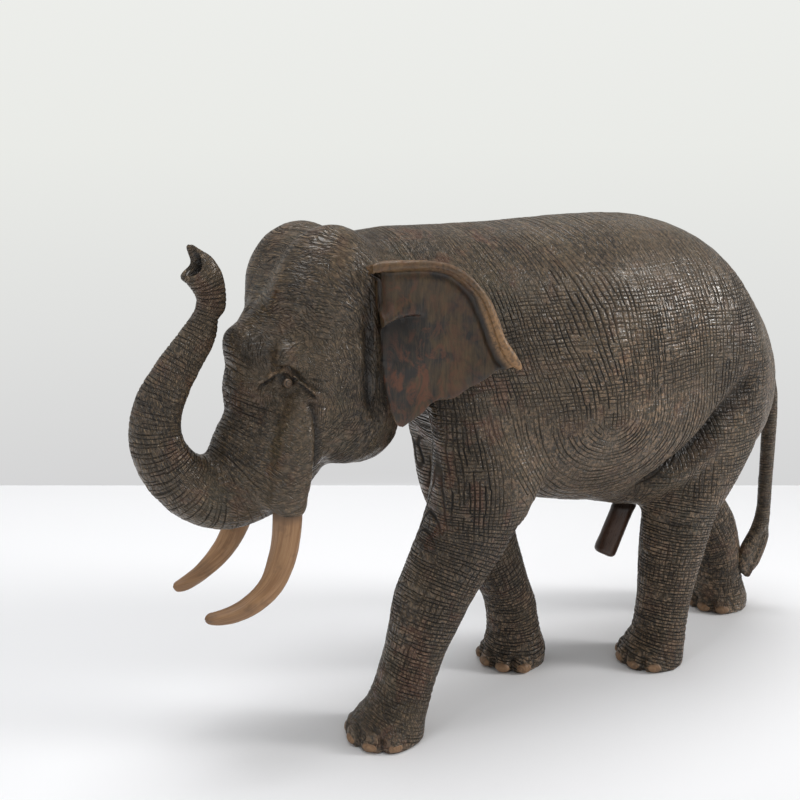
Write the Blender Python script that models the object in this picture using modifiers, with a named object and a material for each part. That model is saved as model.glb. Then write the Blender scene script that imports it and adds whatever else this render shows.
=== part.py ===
"""Carved wooden elephant figurine, striding with its trunk raised.

The elephant is one carved block of hardwood (trunk, head, torso and legs), with separately
carved pieces let into it: two ears on tongues, two tusks in sockets, a tail and a belly peg in
drilled holes, two bead eyes and eighteen toenail slips.

Frame: metres, +Z up, +X towards the head, +Y towards the elephant's left side.  The origin is
on the floor, at the middle of the bounding box.  Tables below are in millimetres, measured from
the middle of the four feet, and ORIGIN_X moves them to the origin.
"""
import math

import bmesh
import bpy
import numpy as np
from mathutils import Matrix, Vector

MM = 0.001
ORIGIN_X = 59.1          # middle of the bounding box, from the middle of the four feet
FIT_GAP = 0.3            # clearance between a let-in piece and its pocket
CARVE_VOXEL = 2.6        # grain of the blocked-out body before it is smoothed
CARVE_SMOOTHING = 7
BODY_TRIANGLES = 5800

FOOT_FRONT_RADIUS = 23.0
FOOT_REAR_RADIUS = 22.0
EAR_THICKNESS = 4.4
EAR_RIM_THICKNESS = 6.4
TUSK_SOCKET_DEPTH = 18.0
TAIL_HOLE_DEPTH = 16.0
PEG_RADIUS = 6.8
PEG_HOLE_DEPTH = 24.0
EYE_RADIUS = 3.3
NAIL_HEIGHT = 2.9        # half height of a toenail slip
NAIL_WIDTH = 4.8         # half width
NAIL_THICKNESS = 2.4     # half thickness
NAIL_SINK = 0.9          # how far a nail's middle lies below the skin of the foot

LEFT, RIGHT = 1, -1
SIDE_NAMES = {LEFT: "left", RIGHT: "right"}

# Torso sections: x, top, belly, height of the widest line, half width.
TORSO = [
    (-150, 189, 167, 178, 8),
    (-147, 203, 152, 179, 18),
    (-136, 225, 138, 180, 31),
    (-114, 252, 124, 184, 46),
    (-85, 279, 112, 186, 56),
    (-54, 293, 106, 190, 61),
    (-20, 299, 110, 192, 66),
    (10, 300, 118, 195, 69),
    (41, 299, 124, 200, 69),
    (84, 297, 136, 208, 62),
    (110, 296, 162, 220, 56),
    (130, 296, 190, 232, 51),
    (150, 296, 200, 238, 47),
    (172, 294, 210, 246, 43),
]

# Leg sections, sole upwards: z, x, y (away from the middle), half length, half width.
LEGS = {
    ("front", LEFT): [
        (-6, 160, 23, 22.5, 22), (6, 160, 23, 24, 23.5), (11, 159, 23, 23, 23),
        (17, 153, 23, 20, 20.5), (26, 149, 23, 18.5, 19), (45, 142, 23, 18.5, 19.5),
        (60, 137, 24, 20, 21), (86, 128, 26, 24, 24), (109, 116, 29, 28, 26),
        (131, 105, 32, 31, 28), (155, 98, 34, 35, 28), (200, 98, 34, 35, 22),
    ],
    ("front", RIGHT): [
        (-6, 38, 22, 21.5, 21.5), (6, 38, 22, 22.5, 22.5), (11, 37.5, 22, 21.8, 22),
        (17, 37, 22, 19.5, 19.5), (26, 38, 22, 18, 18), (46, 42, 22, 17.8, 18.5),
        (62, 50, 23, 19.5, 20), (90, 63, 25, 24, 23), (112, 70, 28, 28, 25),
        (134, 74, 31, 31, 26), (160, 76, 34, 32, 26), (200, 86, 34, 32, 22),
    ],
    ("rear", LEFT): [
        (-6, -44.5, 23, 22, 21.5), (6, -44.5, 23, 22.5, 22), (11, -45, 23, 21.5, 21.5),
        (17, -49.5, 23, 18.8, 20), (25, -51.5, 23, 17.8, 18.8), (47, -54, 23, 18.3, 19),
        (75, -57, 24, 22, 21), (96, -60, 26, 26, 23), (115, -64, 28, 29, 26),
        (131, -69, 28, 33, 28), (150, -75, 28, 38, 29), (172, -79, 28, 41, 29),
        (205, -78, 28, 38, 26),
    ],
    ("rear", RIGHT): [
        (-6, -152, 24, 21.5, 21.5), (6, -152, 24, 22.5, 22), (11, -152, 24, 21.5, 21.5),
        (17, -151.5, 24, 19.5, 19.5), (27, -150, 24, 18.5, 18.5), (47, -146, 24, 19.5, 19.5),
        (73, -134, 24, 22.5, 21), (90, -119, 26, 26, 24), (112, -101, 28, 30, 26),
        (135, -85, 28, 35, 28), (160, -80, 28, 40, 29), (205, -78, 28, 38, 26),
    ],
}

# Rounded masses of the block: sides, centre x, y, z and half sizes.
MIDDLE, BOTH = (0,), (LEFT, RIGHT)
MASSES = [
    (MIDDLE, 186, 0, 226, 46, 43, 58),       # skull
    (BOTH, 190, 19, 262, 33, 25, 38.5),      # forehead domes
    (MIDDLE, 190, 0, 262, 31, 26, 35),       # forehead between the domes
    (BOTH, 184, 22, 201, 29, 21, 31),        # cheeks
    (MIDDLE, 174, 0, 189, 31, 33, 25),       # jaw
    (MIDDLE, 228.5, 0, 233.5, 14.5, 19, 15),  # bump over the trunk root
    (MIDDLE, 229, 0, 212, 16, 21, 24),       # bridge of the trunk
    (BOTH, 212, 27, 236, 15, 10, 8),         # brows
    ((LEFT,), 104, 36, 208, 34, 23, 58),     # leading shoulder
    ((RIGHT,), 88, 36, 210, 31, 23, 54),     # trailing shoulder
    (BOTH, -80, 30, 192, 41, 27, 58),        # hips
]

# Trunk centre line, from inside the head to the tip: x, z, half depth, half width.
TRUNK = [
    (196, 222, 30, 27), (207, 198, 32, 27), (225, 173, 31, 25), (243, 160, 24.5, 23),
    (258, 160, 19.5, 20.5), (269.5, 167, 16.8, 18.5), (279, 179, 15.4, 17),
    (283, 194, 14.4, 15.5), (279.5, 211, 13, 14), (268, 230, 11, 12.3),
    (256.5, 245, 9.4, 10.8), (250.5, 257, 8.3, 9.6), (250, 267, 8.6, 9.6), (253, 276, 9.6, 10.2),
    (256, 284, 7.2, 8.2), (258, 290, 2.6, 3.4),
]

# Tusk sheaths, downwards: x, y, z, radius.
SHEATH = [(207, 29, 212, 11), (213, 30, 192, 13.5), (219.5, 29, 168, 12), (222.5, 27, 148, 10.8)]

# Tusks, root to tip: x, y, z, radius.
TUSKS = {
    LEFT: [(221, 27, 149, 8.2), (222.3, 27, 134, 7.9), (225.5, 27, 122, 7.6),
           (231.5, 27, 110, 6.7), (241.5, 27, 102, 5.8), (252.5, 27, 98, 4.8),
           (262, 27, 97.6, 4.0), (266, 27, 98.2, 3.4)],
    RIGHT: [(225, 27, 149, 8.2), (228, 27, 134, 7.8), (232.5, 27, 124, 7.2),
            (238, 27, 115.5, 6.5), (245.5, 27, 108, 5.7), (253.5, 27, 102, 4.9),
            (262, 27, 97.8, 4.2), (266, 27, 96.6, 3.4)],
}

# Ear outline from the front edge to the tip: x, top, bottom, y of the outer face.
EAR = [
    (180, 281, 262, 49), (177, 282.5, 214, 50), (172, 283, 198, 52), (165, 283, 194, 54),
    (156, 283, 200, 57), (147, 282, 206, 59.5), (137, 278.5, 211, 62.5), (127, 271, 216, 65.5),
    (119, 260, 219.5, 68), (112, 246, 223, 70), (106, 233, 226, 72),
]
EAR_TONGUE = (172, 262, 7, 34)       # centre x, centre z, length along x, height
EAR_TONGUE_DEPTH = 14.0

# Tail centre line, root to tuft: x, y, z, half depth, half width.
TAIL = [
    (-147, 0, 199, 4.2, 4.2), (-154.5, 0, 191.5, 4.3, 4.3), (-161.5, 0, 180.5, 4.3, 4.3),
    (-166, 0, 166, 4.2, 4.2), (-168, -0.5, 150, 4.1, 4.1), (-169, -1, 132, 4.0, 4.0),
    (-171, -2.5, 100, 3.8, 3.8), (-173, -4, 75, 3.8, 3.8), (-173, -5, 61, 4.4, 4.0),
    (-170, -6.5, 48, 6.4, 3.6), (-167.5, -7.5, 37, 5.4, 3.0), (-165.5, -8, 29, 2.8, 2.0),
    (-164.5, -8, 26, 1.2, 1.4),
]
PEG_TOP = (-36, 0, 106)              # where the peg's axis leaves the belly
PEG_END = (-19.5, 0, 73)

# Bead eye and toenails: angle of each nail from straight ahead, in degrees.
EYE = (220, 35.5, 222)
NAIL_ANGLES = {"front": (-76, -38, 0, 38, 76), "rear": (-57, -19, 19, 57)}
NAIL_CENTRE_Z = 3.6
FOOT_CENTRES = {
    ("front", LEFT): (160, 23), ("front", RIGHT): (38, -22),
    ("rear", LEFT): (-44, 23), ("rear", RIGHT): (-152, -24),
}


# ---------------------------------------------------------------- scene and helpers

def clear_scene():
    for thing in list(bpy.data.objects):
        bpy.data.objects.remove(thing, do_unlink=True)


def new_collection(name):
    group = bpy.data.collections.new(name)
    bpy.context.scene.collection.children.link(group)
    return group


def wood(name, colour, roughness):
    material = bpy.data.materials.new(name)
    material.use_nodes = True
    shader = material.node_tree.nodes["Principled BSDF"]
    shader.inputs["Base Color"].default_value = (*colour, 1.0)
    shader.inputs["Roughness"].default_value = roughness
    shader.inputs["Metallic"].default_value = 0.0
    return material


def place(x, y, z):
    """A point of the tables, in metres from the origin."""
    return Vector(((x - ORIGIN_X) * MM, y * MM, z * MM))


def smooth_rows(rows, steps):
    """A Catmull-Rom curve through the rows of a table, with steps points in each span."""
    rows = np.array(rows, dtype=float)
    ends = np.vstack([2 * rows[0] - rows[1], rows, 2 * rows[-1] - rows[-2]])
    curve = []
    for i in range(1, len(ends) - 2):
        before, start, stop, after = ends[i - 1:i + 3]
        for t in np.arange(steps) / steps:
            curve.append(0.5 * (2 * start + (stop - before) * t
                                + (2 * before - 5 * start + 4 * stop - after) * t ** 2
                                + (3 * start - before - 3 * stop + after) * t ** 3))
    curve.append(rows[-1])
    return np.array(curve)


def oval(count, half_width, up, down, power=2.0):
    """Points (across, up) of an egg-shaped ring with its own height above and below."""
    points = []
    for i in range(count):
        angle = 2 * math.pi * i / count
        cos, sin = math.cos(angle), math.sin(angle)
        across = math.copysign(abs(cos) ** (2 / power), cos) * half_width
        height = math.copysign(abs(sin) ** (2 / power), sin) * (up if sin > 0 else down)
        points.append((across, height))
    return points


def add_loft(mesh, rings):
    """Join rings of equally many points into a closed skin inside a bmesh."""
    loops = [[mesh.verts.new(point) for point in ring] for ring in rings]
    count = len(loops[0])
    faces = [mesh.faces.new(loops[0][::-1]), mesh.faces.new(loops[-1])]
    for lower, upper in zip(loops, loops[1:]):
        for i in range(count):
            j = (i + 1) % count
            faces.append(mesh.faces.new((lower[i], lower[j], upper[j], upper[i])))
    bmesh.ops.recalc_face_normals(mesh, faces=faces)


def sweep_rings(rows, count, power=2.0):
    """Rings square to a centre line of rows x, y, z, half depth, half width."""
    centres = [place(*row[:3]) for row in rows]
    rings = []
    for i, row in enumerate(rows):
        along = (centres[min(i + 1, len(rows) - 1)] - centres[max(i - 1, 0)]).normalized()
        across = Vector((0, 1, 0))
        across = (across - along * across.dot(along)).normalized()
        deep = across.cross(along)
        rings.append([centres[i] + across * (u * MM) + deep * (v * MM)
                      for u, v in oval(count, row[4], row[3], row[3], power)])
    return rings


def finish(name, mesh, group, material=None):
    """Turn a bmesh into a named object of a collection."""
    data = bpy.data.meshes.new(name)
    mesh.to_mesh(data)
    mesh.free()
    thing = bpy.data.objects.new(name, data)
    group.objects.link(thing)
    if material:
        data.materials.append(material)
        data.shade_smooth()
    else:
        thing.hide_render = True
        thing.display_type = "WIRE"
    return thing


def boolean(thing, operand, operation):
    modifier = thing.modifiers.new(operation.title(), "BOOLEAN")
    modifier.operation = operation
    modifier.solver = "EXACT"
    if isinstance(operand, bpy.types.Collection):
        modifier.operand_type = "COLLECTION"
        modifier.collection = operand
    else:
        modifier.object = operand


def add_ellipsoid(mesh, centre, half_sizes, turn=0.0, segments=32, rings=18):
    """An ellipsoid turned about +Z, in table units."""
    matrix = (Matrix.Translation(place(*centre)) @ Matrix.Rotation(turn, 4, "Z")
              @ Matrix.Diagonal((*(size * MM for size in half_sizes), 1)))
    bmesh.ops.create_uvsphere(mesh, u_segments=segments, v_segments=rings, radius=1, matrix=matrix)


# ---------------------------------------------------------------- the carved block

def add_torso(mesh):
    rings = []
    for x, top, belly, wide, half_width in smooth_rows(TORSO, 4):
        rings.append([place(x, y, wide + z)
                      for y, z in oval(48, half_width, top - wide, wide - belly, 2.15)])
    add_loft(mesh, rings)


def add_leg(mesh, sections, side):
    rings = []
    for z, x, y, half_length, half_width in smooth_rows(sections, 4):
        rings.append([place(x + u, side * y + v, z)
                      for u, v in oval(32, half_length, half_width, half_width)])
    add_loft(mesh, rings)


def add_trunk(mesh):
    rows = [(x, 0, z, deep, wide) for x, z, deep, wide in smooth_rows(TRUNK, 4)]
    add_loft(mesh, sweep_rings(rows, 32))


def add_sheath(mesh, side):
    rows = [(x, side * y, z, r, r) for x, y, z, r in smooth_rows(SHEATH, 4)]
    add_loft(mesh, sweep_rings(rows, 24))


def build_body(group, cutters, material):
    """Block out the elephant from overlapping masses, then smooth it into one skin."""
    mesh = bmesh.new()
    add_torso(mesh)
    add_trunk(mesh)
    for (_, side), sections in LEGS.items():
        add_leg(mesh, sections, side)
    for side in (LEFT, RIGHT):
        add_sheath(mesh, side)
    for sides, x, y, z, *half_sizes in MASSES:
        for side in sides:
            add_ellipsoid(mesh, (x, side * y, z), half_sizes)
    body = finish("body", mesh, group, material)

    carve = body.modifiers.new("Carve", "REMESH")
    carve.mode = "VOXEL"
    carve.voxel_size = CARVE_VOXEL * MM
    carve.use_smooth_shade = True
    rub = body.modifiers.new("Rub down", "SMOOTH")
    rub.factor = 0.5
    rub.iterations = CARVE_SMOOTHING
    thin = body.modifiers.new("Thin", "DECIMATE")
    thin.ratio = decimate_ratio(body, BODY_TRIANGLES)
    boolean(body, cutters, "DIFFERENCE")
    return body


def decimate_ratio(thing, triangles):
    """The ratio that brings the object's present mesh down to a number of triangles."""
    thing.modifiers["Thin"].ratio = 1.0
    evaluated = thing.evaluated_get(bpy.context.evaluated_depsgraph_get())
    data = evaluated.to_mesh()
    present = sum(len(face.vertices) - 2 for face in data.polygons)
    evaluated.to_mesh_clear()
    return min(1.0, triangles / present)


def build_floor_cutter(cutters):
    """Saws the soles off flat and level at the floor."""
    mesh = bmesh.new()
    slab = 0.03
    matrix = Matrix.Translation((0, 0, -slab / 2)) @ Matrix.Diagonal((0.7, 0.4, slab, 1))
    bmesh.ops.create_cube(mesh, size=1, matrix=matrix)
    finish("floor_cutter", mesh, cutters)


# ---------------------------------------------------------------- let-in pieces

def tusk_rows(side, grow=0.0):
    """A tusk's centre line with its root pushed up into the socket."""
    rows = TUSKS[side]
    x, y, z, radius = rows[0]
    root = (x - 1.0, y, z + TUSK_SOCKET_DEPTH + grow, radius)
    rows = smooth_rows([root] + rows, 3)
    return [(x, side * y, z, r + grow, r + grow) for x, y, z, r in rows]


def round_off(rows, tip_steps=3):
    """End a centre line in a dome instead of a flat cut."""
    rows = [tuple(row) for row in rows]
    last = np.array(rows[-1], dtype=float)
    along = last[:3] - np.array(rows[-2][:3], dtype=float)
    along /= np.linalg.norm(along)
    radius = last[3]
    for i in range(1, tip_steps + 1):
        angle = math.pi / 2 * i / (tip_steps + 0.35)
        shrink = math.cos(angle)
        centre = last[:3] + along * radius * math.sin(angle)
        rows.append((*centre, last[3] * shrink, last[4] * shrink))
    return rows


def build_tusk(side, group, cutters, material):
    mesh = bmesh.new()
    add_loft(mesh, sweep_rings(round_off(tusk_rows(side)), 12))
    finish(f"tusk_{SIDE_NAMES[side]}", mesh, group, material)
    socket = bmesh.new()
    add_loft(socket, sweep_rings(tusk_rows(side, FIT_GAP)[:7], 12))
    finish(f"tusk_socket_{SIDE_NAMES[side]}", socket, cutters)


def ear_ring(x, top, bottom, face_y, side):
    """One upright section of the ear: a thin blade with a thicker rolled rim on top."""
    half = (top - bottom) / 2
    middle = (top + bottom) / 2
    ring = []
    for across, height in oval(20, 1.0, half, half, 3.2):
        rim = max(0.0, (middle + height - top + 9) / 9)
        thickness = EAR_THICKNESS + (EAR_RIM_THICKNESS - EAR_THICKNESS) * rim
        cup = 2.5 * (height / half) ** 2
        y = face_y - EAR_THICKNESS / 2 + across * thickness / 2 + cup - 2.0
        ring.append(place(x, side * y, middle + height))
    return ring


def tongue_mesh(side, grow=0.0):
    x, z, length, height = EAR_TONGUE
    outer = 50.0
    depth = EAR_TONGUE_DEPTH + grow
    centre = place(x, side * (outer - depth / 2), z)
    sizes = ((length + 2 * grow) * MM, depth * MM, (height + 2 * grow) * MM, 1)
    mesh = bmesh.new()
    bmesh.ops.create_cube(mesh, size=1, matrix=Matrix.Translation(centre) @ Matrix.Diagonal(sizes))
    return mesh


def build_ear(side, group, cutters, material):
    """A curved blade with a tongue on its back that enters a mortise in the head."""
    name = f"ear_{SIDE_NAMES[side]}"
    mesh = bmesh.new()
    add_loft(mesh, [ear_ring(*row, side) for row in smooth_rows(EAR, 2)])
    ear = finish(name, mesh, group, material)
    tongue = finish(f"{name}_tongue", tongue_mesh(side), cutters_aside(cutters))
    boolean(ear, tongue, "UNION")
    finish(f"{name}_mortise", tongue_mesh(side, FIT_GAP), cutters)
    return ear


def cutters_aside(cutters):
    """The collection of shapes that are joined on, kept apart from the body's cutters."""
    name = "joined_on"
    return bpy.data.collections.get(name) or new_collection(name)


def build_tail(group, cutters, material):
    rows = smooth_rows(TAIL, 3)
    start = np.array(rows[0])
    along = start - np.array(rows[1])
    along /= np.linalg.norm(along[:3])
    root = start.copy()
    root[:3] += along[:3] * TAIL_HOLE_DEPTH
    rows = [tuple(root)] + [tuple(row) for row in rows]
    mesh = bmesh.new()
    add_loft(mesh, sweep_rings(round_off(rows, 2), 10))
    finish("tail", mesh, group, material)
    root[:3] += along[:3] * FIT_GAP
    grown = [tuple(root)] + rows[1:6]
    grown = [(x, y, z, deep + FIT_GAP, wide + FIT_GAP) for x, y, z, deep, wide in grown]
    hole = bmesh.new()
    add_loft(hole, sweep_rings(grown, 10))
    finish("tail_hole", hole, cutters)


def cylinder_along(start, stop, radius, segments):
    start, stop = place(*start), place(*stop)
    along = stop - start
    matrix = Matrix.Translation((start + stop) / 2) @ along.to_track_quat("Z", "Y").to_matrix().to_4x4()
    mesh = bmesh.new()
    bmesh.ops.create_cone(mesh, cap_ends=True, segments=segments, radius1=radius * MM,
                          radius2=radius * MM, depth=along.length, matrix=matrix)
    return mesh


def build_peg(group, cutters, material):
    top, end = Vector(PEG_TOP), Vector(PEG_END)
    inward = (top - end).normalized()
    root = top + inward * PEG_HOLE_DEPTH
    peg = finish("belly_peg", cylinder_along(root, end, PEG_RADIUS, 20), group, material)
    chamfer = peg.modifiers.new("Chamfer", "BEVEL")
    chamfer.width = 1.2 * MM
    chamfer.segments = 1
    chamfer.limit_method = "ANGLE"
    chamfer.angle_limit = math.radians(60)
    hole_root = root + inward * FIT_GAP
    finish("peg_hole", cylinder_along(hole_root, end, PEG_RADIUS + FIT_GAP, 20), cutters)


def build_eye(side, group, cutters, material):
    x, y, z = EYE
    bead, socket = bmesh.new(), bmesh.new()
    add_ellipsoid(bead, (x, side * y, z), [EYE_RADIUS] * 3, 0, 12, 8)
    add_ellipsoid(socket, (x, side * y, z), [EYE_RADIUS + FIT_GAP] * 3, 0, 12, 8)
    finish(f"eye_{SIDE_NAMES[side]}", bead, group, material)
    finish(f"eye_socket_{SIDE_NAMES[side]}", socket, cutters)


def build_nails(end, side, group, cutters, material):
    """Toenail slips half sunk into the front of one foot."""
    foot_x, foot_y = FOOT_CENTRES[(end, side)]
    radius = (FOOT_FRONT_RADIUS if end == "front" else FOOT_REAR_RADIUS) - NAIL_SINK
    for number, angle in enumerate(NAIL_ANGLES[end], start=1):
        turn = math.radians(angle)
        centre = (foot_x + radius * math.cos(turn), foot_y + radius * math.sin(turn), NAIL_CENTRE_Z)
        name = f"nail_{end}_{SIDE_NAMES[side]}_{number}"
        slip, pocket = bmesh.new(), bmesh.new()
        sizes = (NAIL_THICKNESS, NAIL_WIDTH, NAIL_HEIGHT)
        add_ellipsoid(slip, centre, sizes, turn, 8, 6)
        add_ellipsoid(pocket, centre, [size + FIT_GAP for size in sizes], turn, 8, 6)
        finish(name, slip, group, material)
        finish(f"{name}_pocket", pocket, cutters)


def main():
    clear_scene()
    parts = new_collection("carved_elephant")
    cutters = new_collection("cutters")
    stained = wood("stained_wood", (0.055, 0.038, 0.030), 0.6)
    polished = wood("polished_dark_wood", (0.085, 0.040, 0.026), 0.4)
    tan = wood("tan_wood", (0.42, 0.22, 0.11), 0.45)
    pale = wood("pale_wood", (0.50, 0.30, 0.17), 0.5)
    black = wood("black_wood", (0.015, 0.012, 0.010), 0.25)

    build_floor_cutter(cutters)
    for side in (LEFT, RIGHT):
        build_tusk(side, parts, cutters, tan)
        build_ear(side, parts, cutters, polished)
        build_eye(side, parts, cutters, black)
        for end in ("front", "rear"):
            build_nails(end, side, parts, cutters, pale)
    build_tail(parts, cutters, stained)
    build_peg(parts, cutters, polished)
    build_body(parts, cutters, stained)


main()
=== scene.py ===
"""Carved wooden elephant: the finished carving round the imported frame.

Every wooden piece is a fine skin drawn from its CAD node, then sculpted and gouged in code.
Tables are in millimetres from the middle of the four feet: +X to the head, +Y to the
elephant's left side, +Z up.
"""
import math

import bmesh
import bpy
import numpy as np
from mathutils import Matrix, Vector


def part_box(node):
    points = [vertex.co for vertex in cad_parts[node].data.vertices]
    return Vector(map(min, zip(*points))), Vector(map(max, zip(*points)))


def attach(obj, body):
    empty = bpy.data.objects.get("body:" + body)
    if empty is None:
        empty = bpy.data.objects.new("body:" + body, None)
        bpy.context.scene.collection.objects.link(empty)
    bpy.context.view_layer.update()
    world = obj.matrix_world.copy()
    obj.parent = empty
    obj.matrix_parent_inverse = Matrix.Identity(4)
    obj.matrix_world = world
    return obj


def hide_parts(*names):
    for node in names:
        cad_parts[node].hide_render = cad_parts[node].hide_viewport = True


MM = 0.001
SHIFT = 59.1                         # the frame's origin, ahead of the middle of the feet
BODY_CELL = 0.85
SMALL_CELL = 0.5
EAR_CELL = 0.65
TUBE_SIDES = 16
LEFT, RIGHT = 1, -1
SIDE_NAMES = {LEFT: "left", RIGHT: "right"}

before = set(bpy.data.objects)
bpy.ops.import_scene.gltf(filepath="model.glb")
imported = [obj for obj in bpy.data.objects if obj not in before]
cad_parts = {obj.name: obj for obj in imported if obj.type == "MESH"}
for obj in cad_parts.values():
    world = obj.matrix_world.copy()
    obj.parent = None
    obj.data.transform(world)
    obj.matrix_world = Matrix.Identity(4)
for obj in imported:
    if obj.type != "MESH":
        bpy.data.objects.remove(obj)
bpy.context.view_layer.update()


# ---------------------------------------------------------------- numbers

def ease(low, high, value):
    """From 0 at low to 1 at high, smooth between; low may be the larger of the two."""
    t = np.clip((value - low) / (high - low), 0.0, 1.0)
    return t * t * (3 - 2 * t)


def band(low, high, soft, value):
    """1 between low and high, falling to 0 over soft on each side."""
    return ease(low - soft, low, value) * ease(high + soft, high, value)


def bell(value, width):
    """1 at 0, falling smoothly to nothing past about twice the width."""
    return np.exp(-(value / width) ** 2)


def deepest(*layers):
    """The largest of some layers at each point."""
    return np.maximum.reduce(layers)


def lattice(i, j, k, seed):
    """A repeatable number from -1 to 1 for each whole-number cell."""
    h = (i.astype(np.int64) * 0x8DA6B343 + j.astype(np.int64) * 0xD8163841
         + k.astype(np.int64) * 0xCB1AB31F + seed * 0x9E3779B1) & 0xFFFFFFFF
    h = ((h ^ (h >> 15)) * 0x2C1B3C6D) & 0xFFFFFFFF
    h = ((h ^ (h >> 12)) * 0x297A2D39) & 0xFFFFFFFF
    h ^= h >> 15
    return h / 2147483647.5 - 1.0


def noise(points, size, seed):
    """Smooth noise from -1 to 1 whose lumps are about size across; size may differ by axis."""
    q = points / np.asarray(size, dtype=float)
    cell = np.floor(q)
    t = q - cell
    t = t * t * (3 - 2 * t)
    i, j, k = cell.astype(np.int64).T
    total = np.zeros(len(points))
    for di in (0, 1):
        wx = t[:, 0] if di else 1 - t[:, 0]
        for dj in (0, 1):
            wy = t[:, 1] if dj else 1 - t[:, 1]
            for dk in (0, 1):
                wz = t[:, 2] if dk else 1 - t[:, 2]
                total += wx * wy * wz * lattice(i + di, j + dj, k + dk, seed)
    return total


def smooth_path(points, steps=4):
    """A Catmull-Rom curve through a table's rows."""
    rows = np.array(points, dtype=float)
    ends = np.vstack([2 * rows[0] - rows[1], rows, 2 * rows[-1] - rows[-2]])
    curve = []
    for before, start, stop, after in zip(ends, ends[1:], ends[2:], ends[3:]):
        for t in np.arange(steps) / steps:
            curve.append(0.5 * (2 * start + (stop - before) * t
                                + (2 * before - 5 * start + 4 * stop - after) * t ** 2
                                + (3 * start - before - 3 * stop + after) * t ** 3))
    curve.append(rows[-1])
    return np.array(curve)


def along(u, v, path, open_ends=False):
    """For points (u, v): length along the nearest part of a path, and signed distance from it."""
    best = np.full(len(u), 1e9)
    length = np.zeros(len(u))
    side = np.ones(len(u))
    run = 0.0
    last = len(path) - 2
    for n, (a, b) in enumerate(zip(path, path[1:])):
        du, dv = b - a
        step = math.hypot(du, dv)
        t = ((u - a[0]) * du + (v - a[1]) * dv) / step ** 2
        t = np.clip(t, -9 if open_ends and n == 0 else 0, 9 if open_ends and n == last else 1)
        gap = np.hypot(u - a[0] - t * du, v - a[1] - t * dv)
        nearer = gap < best
        best = np.where(nearer, gap, best)
        length = np.where(nearer, run + t * step, length)
        side = np.where(nearer, np.sign(du * (v - a[1]) - dv * (u - a[0])), side)
        run += step
    return length, best * side, run


# ---------------------------------------------------------------- skins

def show(name, data):
    """A new object in the scene."""
    thing = bpy.data.objects.new(name, data)
    bpy.context.scene.collection.objects.link(thing)
    return thing


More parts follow.
